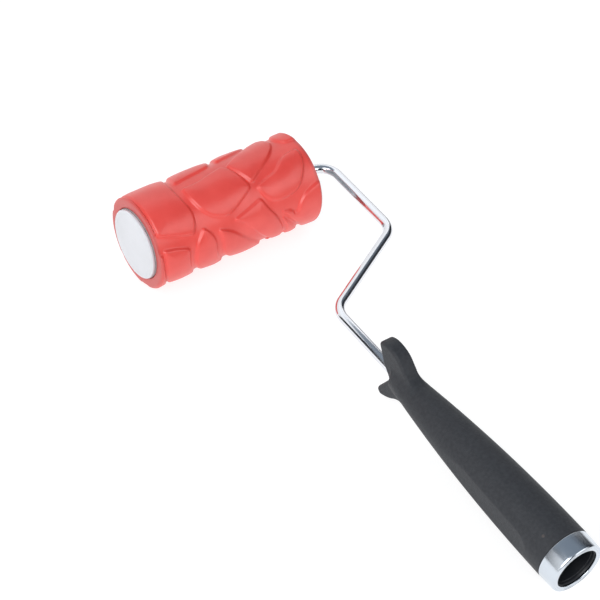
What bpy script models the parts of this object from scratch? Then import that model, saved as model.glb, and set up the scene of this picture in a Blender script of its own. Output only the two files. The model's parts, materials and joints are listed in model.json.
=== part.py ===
"""Textured pattern roller: a rubber sleeve with stone-like pads, on a bent wire frame with a moulded handle.

Everything is in metres. +X runs along the roller's spin axis towards the side where the wire leaves it, the
handle points along -Y, and +Z is up, square to the plane of the bent wire. The pieces are laid out from the
middle of the sleeve, on the spin axis, and then moved together so that the origin is the middle of the
whole tool's box. The roller turns about its own empty.
"""

import math

import bmesh
import bpy
import numpy as np
from mathutils import Matrix, Vector

MM = 0.001
GAP = 0.0003  # clearance between neighbouring pieces
SEAT_GAP = 0.0001  # clearance of a flange from the end face it bears on

# Sleeve and core
SLEEVE_LENGTH = 0.129
SLEEVE_HALF = SLEEVE_LENGTH / 2
PAD_R = 0.0329  # outer radius over the pads
GROOVE_R = 0.0302  # radius of the groove floor
PAD_WALL = 0.0022  # width of a pad's sloping wall
PAD_CROWN = 0.0005  # how much a pad rises towards its middle
CROWN_REACH = 0.010  # distance from the outline at which the crown is full
SLEEVE_EDGE = 0.0030  # rounding of the sleeve's two ends
CORE_R = 0.0246
CORE_WALL = 0.0020
CORE_BORE_R = CORE_R - CORE_WALL
SLEEVE_BORE_R = CORE_R + GAP

# End pieces of the roller
FLANGE_R = 0.0235
FLANGE_PROUD = 0.0016
PLUG_R = CORE_BORE_R - GAP
PLUG_WALL = 0.0022
PLUG_DEPTH = 0.012
BOSS_R = 0.0088
BUSH_R = 0.0062
BUSH_BORE_R = 0.0038
BUSH_FLANGE_R = 0.0076
BUSH_FLANGE = 0.0012  # thickness
BUSH_PROUD = 0.0015  # how far a bush stands out of its boss at each end
WEB = 0.0028
BOSS_OUT = 0.0048  # how far the boss stands off the web, towards the roller's end
BOSS_IN = 0.0044  # and towards its middle
RIB_DEPTH = 0.0040
COVER_SKIN = 0.0022
COVER_RING_DEPTH = 0.0070
COVER_RING_WALL = 0.0016
RIB_COUNT = 6
RIB_WIDTH = 0.0018
OUTER_HUB_X = -0.0440  # middle of the hub nearest the covered end
INNER_HUB_X = 0.0560

# Small pieces on the axle
WASHER = 0.0008  # thickness
OUTER_WASHER_R = 0.0075
INNER_WASHER_R = 0.0080
COLLAR_LENGTH = 0.0045
COLLAR_R = 0.0056
NUT_R = 0.0078
NUT_DOME_R = 0.0053
NUT_DEPTH = 0.0030
SPACER_BORE_R = 0.0041
SPACER_R = 0.0054

# Wire frame
WIRE_R = 0.0035
AXLE_TIP_X = -0.0560
ARM_X = 0.0904  # the arm runs beside the sleeve at this X
HANDLE_X = 0.0146  # the handle's axis
KNEE_Y = -0.0752
ELBOW_Y = -0.1176
AXLE_BEND = 0.013
KNEE_BEND = 0.016
TANG_TIP_Y = -0.2560

# Handle
NECK_Y = -0.2000
SEAM_Y = -0.3450  # where the grip meets the ferrule
END_Y = -0.3579
NECK_R = 0.0102
GRIP_R = 0.01845
GRIP_SWELL = 2.1  # exponent of the grip's taper
SKIN = 0.0016
FERRULE_WALL = 0.0009
FERRULE_LIP_R = 0.0172
FERRULE_EYE_R = 0.0143
SOCKET_R = 0.0149
SOCKET_BORE_R = 0.0136
SOCKET_BORE_END_R = 0.0132
SOCKET_FLOOR_Y = -0.3060
CORE_NOSE_Y = -0.1960
CORE_TAIL_Y = END_Y + 0.0020
PIN_Y = -0.3363
PIN_TURN_DEG = -36  # about the handle's axis, from +Z
PIN_R = 0.0008
PIN_DEPTH = 0.00025  # how far the pin's end is sunk below the skin
HEAD_HALF = 0.0052  # half the thickness of the flared head
HEAD_EASE = 0.0022

# Middle of the whole tool's box, from the middle of the sleeve
LEAST_X = -SLEEVE_HALF - FLANGE_PROUD
TOOL_MIDDLE = Vector(((LEAST_X + ARM_X + WIRE_R) / 2, (END_Y + PAD_R) / 2, 0))

# Facets
ROUND_STEPS = 32
SMALL_STEPS = 24
WIRE_SIDES = 16
SLEEVE_TURN_STEPS = 56

# The pads of the sleeve, unrolled: millimetres along the spin axis, degrees around it from +Z towards +Y,
# and how far each corner is eased in millimetres. A pad that runs past 64.5 mm wraps over the sleeve's end.
PADS = {
    "end_slab": [
        (-70, 72, 3), (-36, 74, 5), (-31, 56, 8), (-31, 42, 8), (-34, 26, 10), (-35, 6, 12),
        (-34, -14, 12), (-31.5, -31, 8), (-33, -46, 8), (-36, -58, 3), (-50, -51, 8), (-70, -41, 3),
    ],
    "low_slab": [
        (-60, -63, 2), (-49, -67, 8), (-41, -73, 3), (-41.5, -88, 8), (-40.5, -102, 8), (-37, -117, 8),
        (-33, -134, 6), (-38, -150, 5), (-52, -154, 5), (-60.5, -140, 5), (-61, -100, 10),
    ],
    "leaf": [
        (-28.5, -55, 2), (-24, -64, 8), (-21, -76, 8), (-20.5, -94, 10), (-18, -110, 8), (-12, -126, 6),
        (-11, -140, 4), (-22, -142, 6), (-32, -124, 8), (-36.5, -104, 10), (-37, -86, 10), (-35, -70, 6),
    ],
    "thorn": [
        (-17.5, -65, 2), (-9, -72, 8), (-1, -86, 8), (5, -98, 8), (11, -111, 8), (16, -124, 5),
        (12, -140, 4), (0, -143, 5), (-8, -124, 8), (-13.5, -108, 8), (-15.5, -92, 8), (-16, -78, 8),
    ],
    "kite": [
        (-4.5, -61, 2), (7, -55, 10), (18, -48.5, 2.5), (21, -62, 8), (27, -79, 8), (32, -92, 6),
        (31, -112, 5), (26, -126, 4), (20, -112, 6), (14, -98, 8), (8, -83, 8), (3, -71, 8),
    ],
    "centre": [
        (-29, 3, 2.5), (-18, 2.5, 8), (-6, 8, 8), (5, 13, 3), (8, 6, 6), (10.5, -8, 10), (14.5, -31, 3),
        (8, -38, 8), (-2, -48, 8), (-10, -53, 10), (-19, -47, 10), (-25, -36, 8), (-28.5, -18, 10),
    ],
    "crest": [
        (-30, 16, 2.5), (-18, 20, 8), (-6, 24, 8), (0, 27, 3), (4, 40, 6), (5, 56, 4), (-8, 66, 6),
        (-24, 64, 5), (-27, 46, 8),
    ],
    "wedge": [(9, 31, 2.5), (20, 35, 8), (29, 43, 8), (35, 53, 4), (30, 65, 5), (16, 67, 5), (10, 52, 6)],
    "blade": [
        (8.5, 10, 2.5), (18, 21, 8), (28, 31, 8), (37, 42, 8), (43, 53, 3), (48, 53, 3), (48.5, 36, 8),
        (48.5, 21, 8), (44, 7, 8), (37, -4, 8), (28, -14, 8), (17, -26, 2), (14, -14, 8), (11, 0, 8),
    ],
    "shield": [
        (18.5, -33, 2.5), (28, -28, 6), (36, -25, 6), (43, -14, 6), (50, -8, 6), (59, -5, 4), (59.5, -18, 8),
        (57, -32, 8), (52, -46, 8), (46, -57, 8), (36, -60.5, 8), (27, -59, 8), (21, -47, 8),
    ],
    "tab": [(70, 9, 2), (57, 10, 4), (53, 18, 5), (52, 32, 8), (55, 48, 5), (70, 52, 2)],
    "foot": [
        (31, -76, 2), (39, -79, 3), (42, -90, 5), (44, -104, 6), (46, -118, 5), (40, -122, 4),
        (37, -106, 6), (34, -90, 6),
    ],
    "corner": [
        (70, -61, 2), (60, -63, 5), (50, -69, 3), (46.5, -82, 6), (48, -98, 8), (51, -116, 6),
        (52, -134, 5), (70, -138, 2),
    ],
    "heel": [(36, -128, 4), (46, -131, 4), (46, -146, 5), (35, -150, 4), (24, -140, 4)],
    "rear_slab": [(-70, 82, 2), (-44, 84, 4), (-40, 100, 8), (-42, 120, 8), (-47, 136, 4), (-70, 140, 2)],
    "rear_kite": [
        (-36, 84, 3), (-22, 75, 5), (-10, 77, 4), (-8, 92, 8), (-12, 110, 8), (-24, 118, 5), (-35, 108, 8),
    ],
    "rear_blade": [
        (-3, 75, 3), (10, 75, 5), (18, 79, 5), (23, 94, 8), (18, 112, 6), (4, 116, 5), (-5, 106, 5),
        (-3, 90, 8),
    ],
    "rear_end": [
        (70, 62, 2), (48, 64, 5), (30, 74, 5), (29, 88, 8), (34, 106, 8), (46, 118, 5), (70, 120, 2),
    ],
    "rear_low": [(-70, 150, 2), (-46, 147, 4), (-36, 158, 6), (-33, 174, 8), (-40, 190, 5), (-70, 192, 2)],
    "rear_oval": [
        (-38, 124, 5), (-26, 128, 8), (-12, 122, 8), (-4, 132, 6), (-3, 148, 8), (-10, 164, 6),
        (-22, 170, 6), (-31, 158, 8), (-38, 142, 8),
    ],
    "rear_leaf": [
        (2, 124, 4), (16, 122, 6), (26, 116, 4), (32, 128, 6), (34, 146, 8), (28, 162, 6), (14, 166, 5),
        (4, 150, 8),
    ],
    "rear_corner": [
        (70, 130, 2), (46, 128, 5), (40, 142, 8), (42, 162, 8), (48, 182, 6), (54, 206, 6), (70, 210, 2),
    ],
    "rear_thorn": [
        (-26, 180, 4), (-10, 174, 6), (2, 168, 5), (8, 178, 6), (4, 196, 6), (-8, 206, 4), (-22, 204, 4),
        (-28, 192, 5),
    ],
    "rear_wedge": [
        (14, 174, 4), (28, 172, 5), (38, 170, 4), (42, 186, 6), (44, 202, 4), (30, 206, 6), (14, 208, 4),
        (12, 190, 6),
    ],
}

# Side view of the flared head: millimetres along Y and Z, and how far each corner is eased.
# Two wings stand above and below the wire, with a notch between them where it enters.
HEAD = [
    (-206, 8, 1), (-199, 11.2, 4), (-193, 16.6, 5), (-187.5, 21.2, 5), (-180, 23, 5), (-173.5, 22.8, 4),
    (-167.6, 19.6, 3), (-171, 13.6, 6), (-174.4, 6.2, 5), (-178.2, 2.2, 4), (-182.2, -2.4, 0.8),
    (-178.6, -8.2, 4), (-171.6, -19.6, 3), (-175.2, -23, 3), (-184, -19.2, 6), (-191, -13.2, 6),
    (-206, -8, 1),
]

MATERIALS = {
    "red_rubber": ((0.78, 0.09, 0.07), 0.48, 0.0),
    "white_plastic": ((0.80, 0.83, 0.86), 0.38, 0.0),
    "grey_plastic": ((0.42, 0.43, 0.45), 0.50, 0.0),
    "natural_acetal": ((0.86, 0.85, 0.80), 0.35, 0.0),
    "chrome_wire": ((0.80, 0.81, 0.83), 0.10, 1.0),
    "zinc_steel": ((0.62, 0.64, 0.66), 0.30, 1.0),
    "black_grip": ((0.045, 0.047, 0.050), 0.62, 0.0),
    "black_core": ((0.030, 0.030, 0.032), 0.50, 0.0),
    "polished_ferrule": ((0.78, 0.80, 0.83), 0.14, 1.0),
}


def start_clean():
    for thing in list(bpy.data.objects):
        bpy.data.objects.remove(thing, do_unlink=True)


def empty(name):
    made = bpy.data.objects.new(name, None)
    bpy.context.scene.collection.objects.link(made)
    return made


def material(name):
    """The Principled material of this name, made on first use."""
    found = bpy.data.materials.get(name)
    if found:
        return found
    colour, roughness, metallic = MATERIALS[name]
    made = bpy.data.materials.new(name)
    made.use_nodes = True
    shader = made.node_tree.nodes["Principled BSDF"]
    shader.inputs["Base Color"].default_value = (*colour, 1.0)
    shader.inputs["Roughness"].default_value = roughness
    shader.inputs["Metallic"].default_value = metallic
    made.diffuse_color = (*colour, 1.0)
    return made


def finish_object(name, bm, material_name, parent=None):
    """Turns a bmesh into a closed, outward-facing object, sharp where facets meet at over 35 degrees."""
    bmesh.ops.remove_doubles(bm, verts=bm.verts, dist=1e-6)
    bmesh.ops.recalc_face_normals(bm, faces=bm.faces)
    mesh = bpy.data.meshes.new(name)
    bm.to_mesh(mesh)
    bm.free()
    mesh.shade_smooth()
    mesh.set_sharp_from_angle(angle=math.radians(35))
    made = bpy.data.objects.new(name, mesh)
    bpy.context.scene.collection.objects.link(made)
    made.data.materials.append(material(material_name))
    made.parent = parent
    return made


def turned(profile, axis, centre=(0, 0, 0), steps=ROUND_STEPS, closed=True):
    """A bmesh turned about an axis through centre. The profile is (distance along the axis, radius) pairs."""
    bm = bmesh.new()
    along = Vector((1, 0, 0)) if axis == "X" else Vector((0, 1, 0))
    out = Vector((0, 0, 1))
    verts = [bm.verts.new(Vector(centre) + along * s + out * r) for s, r in profile]
    edges = [bm.edges.new(pair) for pair in zip(verts, verts[1:])]
    if closed:
        edges.append(bm.edges.new((verts[-1], verts[0])))
    bmesh.ops.spin(
        bm, geom=verts + edges, cent=centre, axis=along, dvec=(0, 0, 0),
        angle=math.tau, steps=steps, use_merge=False,
    )
    bmesh.ops.remove_doubles(bm, verts=bm.verts, dist=1e-6)
    bmesh.ops.recalc_face_normals(bm, faces=bm.faces)
    return bm


def cut(target, cutter_bm, name, operation="DIFFERENCE"):
    """Adds an exact Boolean of target with a hidden tool object."""
    tool = finish_object(name, cutter_bm, "black_core")
    tool.hide_render = True
    tool.display_type = "WIRE"
    step = target.modifiers.new(name, "BOOLEAN")
    step.operation = operation
    step.solver = "EXACT"
    step.object = tool
    return tool


def eased_outline(corners, to_plane, arc_steps=5):
    """The closed outline through corners, each replaced by a curve that starts its ease before it."""
    points = [np.array(to_plane(a, b)) for a, b, _ in corners]
    outline = []
    for i, (_, _, ease) in enumerate(corners):
        before, here, after = points[i - 1], points[i], points[(i + 1) % len(points)]
        run_in = np.linalg.norm(before - here)
        run_out = np.linalg.norm(after - here)
        reach = min(ease * MM, 0.48 * run_in, 0.48 * run_out)
        start = here + (before - here) / run_in * reach
        end = here + (after - here) / run_out * reach
        for t in np.linspace(0, 1, arc_steps):
            outline.append((1 - t) ** 2 * start + 2 * t * (1 - t) * here + t * t * end)
    return np.array(outline)


def signed_distance(points, outline):
    """Distance from each point to the outline, positive inside it."""
    best = np.full(len(points), np.inf)
    inside = np.zeros(len(points), bool)
    for a, b in zip(outline, np.roll(outline, -1, axis=0)):
        edge = b - a
        length_squared = edge @ edge
        if length_squared < 1e-16:
            continue
        t = np.clip((points - a) @ edge / length_squared, 0, 1)
        best = np.minimum(best, np.linalg.norm(points - (a + t[:, None] * edge), axis=1))
        crosses = (a[1] > points[:, 1]) != (b[1] > points[:, 1])
        if a[1] != b[1]:
            at = a[0] + (points[:, 1] - a[1]) / (b[1] - a[1]) * edge[0]
            inside ^= crosses & (points[:, 0] < at)
    return np.where(inside, best, -best)


def unrolled(x_mm, degrees):
    return x_mm * MM, math.radians(degrees) * PAD_R


def pad_height(points):
    """How far the sleeve stands above its groove floor, at unrolled points."""
    height = np.zeros(len(points))
    turn = np.array([0.0, math.tau * PAD_R])
    for corners in PADS.values():
        outline = eased_outline(corners, unrolled)
        for shift in (-turn, 0 * turn, turn):
            inside = signed_distance(points + shift, outline)
            wall = np.clip(inside / PAD_WALL + 0.5, 0, 1)
            crown = np.clip(inside / CROWN_REACH, 0, 1)
            rise = (PAD_R - PAD_CROWN - GROOVE_R) * wall * wall * (3 - 2 * wall)
            height = np.maximum(height, rise + PAD_CROWN * crown * (2 - crown) * wall)
    return height


def end_rounding(x):
    """The largest radius the sleeve's rounded ends leave at this place along it."""
    depth = min(SLEEVE_EDGE, SLEEVE_HALF - abs(x))
    drop = SLEEVE_EDGE - math.sqrt(max(0.0, SLEEVE_EDGE**2 - (SLEEVE_EDGE - depth) ** 2))
    return PAD_R - drop


def rubber_sleeve(parent):
    end_stations = [0.0, 0.0005, 0.0016, 0.0034]
    inner_count = 34
    inner = np.linspace(-SLEEVE_HALF + 0.0060, SLEEVE_HALF - 0.0060, inner_count)
    stations = [-SLEEVE_HALF + d for d in end_stations] + list(inner)
    stations += [SLEEVE_HALF - d for d in reversed(end_stations)]
    angles = np.arange(SLEEVE_TURN_STEPS) * math.tau / SLEEVE_TURN_STEPS
    flat = np.array([(x, a * PAD_R) for x in stations for a in angles])
    radii = (GROOVE_R + pad_height(flat)).reshape(len(stations), len(angles))
    bm = bmesh.new()
    rings = []
    for x, ring_radii in zip(stations, radii):
        limit = end_rounding(x)
        ring = []
        for angle, radius in zip(angles, ring_radii):
            r = min(radius, limit)
            ring.append(bm.verts.new((x, r * math.sin(angle), r * math.cos(angle))))
        rings.append(ring)
    for x in (stations[-1], stations[0]):
        bore = [(x, SLEEVE_BORE_R * math.sin(a), SLEEVE_BORE_R * math.cos(a)) for a in angles]
        rings.append([bm.verts.new(point) for point in bore])
    for ring, following in zip(rings, rings[1:] + rings[:1]):
        for j in range(len(angles)):
            k = (j + 1) % len(angles)
            bm.faces.new((ring[j], ring[k], following[k], following[j]))
    return finish_object("rubber_sleeve", bm, "red_rubber", parent)


def core_tube(parent):
    half = SLEEVE_HALF - 0.0004
    profile = [(-half, CORE_R), (half, CORE_R), (half, CORE_BORE_R), (-half, CORE_BORE_R)]
    return finish_object("core_tube", turned(profile, "X"), "grey_plastic", parent)


def outer_cover(parent):
    """The closed cap over the covered end: a flange on the core's end face, with a ring inside the core."""
    face = LEAST_X
    seat = -SLEEVE_HALF - SEAT_GAP
    skin = face + COVER_SKIN
    ease = 0.0007
    ring_tip = seat + COVER_RING_DEPTH
    ring_bore = PLUG_R - COVER_RING_WALL
    profile = [
        (face, 0), (face, FLANGE_R - ease), (face + ease * 0.3, FLANGE_R - ease * 0.3),
        (face + ease, FLANGE_R), (seat, FLANGE_R), (seat, PLUG_R), (ring_tip, PLUG_R), (ring_tip, ring_bore),
        (skin, ring_bore), (skin, 0),
    ]
    return finish_object("outer_cover", turned(profile, "X", closed=False), "white_plastic", parent)


def ribs(x_low, x_high, r_low, r_high):
    """The bars that tie a hub's boss to its rim, one for each rib."""
    bm = bmesh.new()
    for i in range(RIB_COUNT):
        bar = bmesh.ops.create_cube(bm, size=1.0)["verts"]
        size = Matrix.Diagonal((x_high - x_low, RIB_WIDTH, r_high - r_low, 1))
        place = Matrix.Translation(((x_low + x_high) / 2, 0, (r_low + r_high) / 2))
        turn = Matrix.Rotation(i * math.tau / RIB_COUNT, 4, "X")
        bmesh.ops.transform(bm, matrix=turn @ place @ size, verts=bar)
    return bm


def hub(name, middle_x, outward, material_name, parent, flange):
    """A plug that centres the core on the axle: rim, web and boss, with ribs on its outward side."""
    boss_bore = BUSH_R + GAP
    rim_bore = PLUG_R - PLUG_WALL
    edge = SLEEVE_HALF if flange else abs(middle_x) + PLUG_DEPTH / 2
    tip = edge + FLANGE_PROUD if flange else edge
    back = abs(middle_x) - PLUG_DEPTH / 2
    web_low = abs(middle_x) - WEB / 2
    web_high = abs(middle_x) + WEB / 2
    boss_high = web_high + BOSS_OUT
    boss_low = web_low - BOSS_IN
    seat = edge + SEAT_GAP
    flanged_rim = [(back, PLUG_R), (seat, PLUG_R), (seat, FLANGE_R), (tip, FLANGE_R), (tip, rim_bore)]
    plain_rim = [(back, PLUG_R), (edge, PLUG_R), (edge, rim_bore)]
    inside = [
        (web_high, rim_bore), (web_high, BOSS_R), (boss_high, BOSS_R), (boss_high, boss_bore),
        (boss_low, boss_bore), (boss_low, BOSS_R), (web_low, BOSS_R), (web_low, rim_bore), (back, rim_bore),
    ]
    profile = [(outward * s, r) for s, r in (flanged_rim if flange else plain_rim) + inside]
    made = finish_object(name, turned(profile, "X"), material_name, parent)
    bite = 0.0008  # how far a rib runs into the boss, the rim and the web
    rib_low = outward * (web_high - bite)
    rib_high = outward * (web_high + RIB_DEPTH)
    bars = ribs(rib_low, rib_high, BOSS_R - bite, rim_bore + bite)
    cut(made, bars, name + "_ribs", "UNION")
    return made


def ring(name, x_low, x_high, bore_r, outer_r, material_name, parent):
    """A washer, bush or collar on the axle."""
    profile = [(x_low, outer_r), (x_high, outer_r), (x_high, bore_r), (x_low, bore_r)]
    return finish_object(name, turned(profile, "X", steps=SMALL_STEPS), material_name, parent)


def bush_outer_end(middle_x):
    return abs(middle_x) + WEB / 2 + BOSS_OUT + BUSH_PROUD


def bush_inner_end(middle_x):
    return abs(middle_x) - WEB / 2 - BOSS_IN - BUSH_PROUD


def flanged_bush(name, middle_x, outward, parent):
    """A bush whose small flange bears on the hub's boss."""
    low = bush_inner_end(middle_x)
    high = bush_outer_end(middle_x)
    seat = high - BUSH_FLANGE
    profile = [
        (low, BUSH_R), (seat, BUSH_R), (seat, BUSH_FLANGE_R), (high, BUSH_FLANGE_R),
        (high, BUSH_BORE_R), (low, BUSH_BORE_R),
    ]
    profile = [(outward * s, r) for s, r in profile]
    return finish_object(name, turned(profile, "X", steps=SMALL_STEPS), "natural_acetal", parent)


def spacer_tube(parent):
    """The tube on the axle that keeps the two bushes apart."""
    low = -bush_inner_end(OUTER_HUB_X) + GAP
    high = bush_inner_end(INNER_HUB_X) - GAP
    return ring("spacer_tube", low, high, SPACER_BORE_R, SPACER_R, "grey_plastic", parent)


def push_nut():
    """The domed spring cap that grips the axle's tip and keeps the roller on."""
    face = -bush_outer_end(OUTER_HUB_X) - GAP - WASHER - GAP
    brim = face - 0.2 * NUT_DEPTH
    shoulder = face - 0.4 * NUT_DEPTH
    top = face - NUT_DEPTH
    bore_r = WIRE_R + GAP
    profile = [
        (face, bore_r), (face, NUT_R), (brim, NUT_R), (shoulder, NUT_DOME_R + 0.0007), (top, NUT_DOME_R),
        (top, bore_r),
    ]
    return finish_object("axle_push_nut", turned(profile, "X", steps=SMALL_STEPS), "zinc_steel")


def wire_path():
    """Centre line of the frame wire, with an arc at each bend."""
    corners = [
        (Vector((AXLE_TIP_X, 0, 0)), 0),
        (Vector((ARM_X, 0, 0)), AXLE_BEND),
        (Vector((ARM_X, KNEE_Y, 0)), KNEE_BEND),
        (Vector((HANDLE_X, ELBOW_Y, 0)), KNEE_BEND),
        (Vector((HANDLE_X, TANG_TIP_Y, 0)), 0),
    ]
    arc_steps = 8
    path = [corners[0][0]]
    for (before, _), (here, radius), (after, _) in zip(corners, corners[1:], corners[2:]):
        way_in = (here - before).normalized()
        way_out = (after - here).normalized()
        turn = way_in.angle(way_out)
        start = here - way_in * radius * math.tan(turn / 2)
        side = (way_out - way_in * way_in.dot(way_out)).normalized()
        for i in range(arc_steps + 1):
            a = turn * i / arc_steps
            path.append(start + way_in * radius * math.sin(a) + side * radius * (1 - math.cos(a)))
    path.append(corners[-1][0])
    return path


def frame_wire():
    """The rod: axle, arm, elbow and the tang inside the handle, with chamfered tips."""
    path = wire_path()
    chamfer = 0.0007
    path.insert(1, path[0] + (path[1] - path[0]).normalized() * chamfer)
    path.insert(-1, path[-1] + (path[-2] - path[-1]).normalized() * chamfer)
    bm = bmesh.new()
    rings = []
    for i, point in enumerate(path):
        before = path[max(i - 1, 0)]
        after = path[min(i + 1, len(path) - 1)]
        along = (after - before).normalized()
        side = along.cross(Vector((0, 0, 1)))
        r = WIRE_R - chamfer if i in (0, len(path) - 1) else WIRE_R
        loop = []
        for k in range(WIRE_SIDES):
            a = math.tau * k / WIRE_SIDES
            loop.append(bm.verts.new(point + side * r * math.cos(a) + Vector((0, 0, 1)) * r * math.sin(a)))
        rings.append(loop)
    for loop, following in zip(rings, rings[1:]):
        for k in range(WIRE_SIDES):
            n = (k + 1) % WIRE_SIDES
            bm.faces.new((loop[k], loop[n], following[n], following[k]))
    bm.faces.new(rings[0])
    bm.faces.new(rings[-1])
    return finish_object("frame_wire", bm, "chrome_wire")


def grip_radius(y):
    """Outer radius of the round grip at this Y, from the slim neck to the full end."""
    share = (NECK_Y - y) / (NECK_Y - SEAM_Y)
    return NECK_R + (GRIP_R - NECK_R) * (1 - (1 - share) ** GRIP_SWELL)


def grip_stations(low, high, count):
    return [low + (high - low) * i / (count - 1) for i in range(count)]


def head_plate():
    """The flared head: its side view drawn as a face, pulled through its thickness, with eased edges."""
    outline = eased_outline(HEAD, lambda y, z: (y * MM, z * MM), arc_steps=4)
    bm = bmesh.new()
    low = [bm.verts.new((HANDLE_X - HEAD_HALF, y, z)) for y, z in outline]
    face = bm.faces.new(low)
    pulled = bmesh.ops.extrude_face_region(bm, geom=[face])["geom"]
    moved = [g for g in pulled if isinstance(g, bmesh.types.BMVert)]
    bmesh.ops.translate(bm, verts=moved, vec=(2 * HEAD_HALF, 0, 0))
    bmesh.ops.recalc_face_normals(bm, faces=bm.faces)
    rims = [e for e in bm.edges if abs(e.verts[0].co.x - e.verts[1].co.x) < 1e-7]
    bmesh.ops.bevel(
        bm, geom=rims, offset=HEAD_EASE, segments=2, profile=0.5, affect="EDGES", clamp_overlap=True
    )
    bmesh.ops.recalc_face_normals(bm, faces=bm.faces)
    return bm


def core_radius(y):
    """Outer radius of the rigid core under the grip's skin."""
    return grip_radius(min(y, NECK_Y)) - SKIN - GAP


def core_outline(clearance):
    """The core's outer profile, front to back, moved out by a clearance."""
    nose = [(CORE_NOSE_Y + clearance, 0), (CORE_NOSE_Y + clearance, 0.0062 + clearance)]
    body = [(y, core_radius(y) + clearance) for y in grip_stations(NECK_Y, SEAM_Y + 0.0010, 14)]
    return nose + body


def grip_skin():
    """The soft skin: flared head, slim neck and swelling grip, hollow where the core sits."""
    stations = grip_stations(NECK_Y, SEAM_Y, 18)
    nose = [(-0.1815, 0), (-0.1815, 0.0050), (-0.1840, 0.0066), (-0.1880, 0.0084), (-0.1930, 0.0098)]
    profile = nose + [(y, grip_radius(y)) for y in stations] + [(SEAM_Y, 0)]
    body = turned(profile, "Y", centre=(HANDLE_X, 0, 0), closed=False)
    skin = finish_object("grip_skin", body, "black_grip")
    cut(skin, head_plate(), "grip_head", "UNION")
    hollow = core_outline(GAP) + [(SEAM_Y - 0.0050, core_radius(SEAM_Y) + GAP), (SEAM_Y - 0.0050, 0)]
    cut(skin, turned(hollow, "Y", centre=(HANDLE_X, 0, 0), closed=False), "grip_hollow")
    bore_r = WIRE_R + GAP
    bore_end = CORE_NOSE_Y - 0.0020
    bore = [(-0.1600, 0), (-0.1600, bore_r), (bore_end, bore_r), (bore_end, 0)]
    cut(skin, turned(bore, "Y", centre=(HANDLE_X, 0, 0), steps=SMALL_STEPS, closed=False), "grip_wire_bore")
    cut(skin, pin_bore(), "grip_pin_bore")
    return skin


def handle_core():
    """The rigid core: a bore that grips the tang in front, a cup for the pole socket behind."""
    bore_r = WIRE_R + GAP
    cup_r = SOCKET_R + GAP
    tail_r = FERRULE_LIP_R - FERRULE_WALL - 1.5 * GAP
    rear = [
        (SEAM_Y - 2 * GAP, core_radius(SEAM_Y)), (CORE_TAIL_Y + 0.0060, tail_r + GAP), (CORE_TAIL_Y, tail_r),
    ]
    front = core_outline(0)[1:]
    inside = [
        (CORE_TAIL_Y, cup_r), (SOCKET_FLOOR_Y + GAP, cup_r), (SOCKET_FLOOR_Y + GAP, bore_r),
        (CORE_NOSE_Y, bore_r),
    ]
    core = finish_object(
        "handle_core", turned(front + rear + inside, "Y", centre=(HANDLE_X, 0, 0)), "black_core"
    )
    cut(core, pin_bore(), "core_pin_bore")
    return core


def pole_socket():
    """The cup that takes the extension pole, with a closed floor."""
    mouth = END_Y + 0.0014
    floor = SOCKET_FLOOR_Y
    profile = [
        (floor, 0), (floor, SOCKET_R), (mouth, SOCKET_R), (mouth, SOCKET_BORE_R + 0.0003),
        (mouth + 0.0012, SOCKET_BORE_R), (floor - 0.0020, SOCKET_BORE_END_R), (floor - 0.0020, 0),
    ]
    cup = turned(profile, "Y", centre=(HANDLE_X, 0, 0), closed=False)
    return finish_object("pole_socket", cup, "black_core")


def ferrule():
    """The pressed steel end ring: a slightly tapered skirt with its end turned in around the pole socket."""
    front = SEAM_Y - GAP
    inner = GRIP_R - FERRULE_WALL
    profile = [
        (front, GRIP_R), (front - 0.0080, GRIP_R - 0.0001), (END_Y + 0.0022, GRIP_R - 0.0006),
        (END_Y + 0.0006, FERRULE_LIP_R + 0.0003), (END_Y, FERRULE_LIP_R - 0.0004), (END_Y, FERRULE_EYE_R),
        (END_Y + 0.0010, FERRULE_EYE_R), (END_Y + 0.0010, FERRULE_LIP_R - FERRULE_WALL),
        (END_Y + 0.0030, inner - 0.0006), (front, inner),
    ]
    return finish_object("ferrule", turned(profile, "Y", centre=(HANDLE_X, 0, 0)), "polished_ferrule")


def pin_bar(radius, bottom, top):
    """A round bar square to the handle's axis, between two distances from it."""
    bm = bmesh.new()
    bmesh.ops.create_cone(bm, cap_ends=True, segments=16, radius1=radius, radius2=radius, depth=top - bottom)
    place = Matrix.Translation((HANDLE_X, PIN_Y, 0)) @ Matrix.Rotation(math.radians(PIN_TURN_DEG), 4, "Y")
    bmesh.ops.transform(bm, matrix=place @ Matrix.Translation((0, 0, (top + bottom) / 2)), verts=bm.verts)
    return bm


def pin_bore():
    """The hole for the pin, from inside the socket's cup to outside the grip."""
    return pin_bar(PIN_R + GAP, SOCKET_R, GRIP_R + 0.0050)


def core_pin():
    """The small pin that locks the skin to the core beside the ferrule."""
    bottom = SOCKET_R + 2 * GAP
    return finish_object("core_pin", pin_bar(PIN_R, bottom, grip_radius(PIN_Y) - PIN_DEPTH), "zinc_steel")


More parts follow.
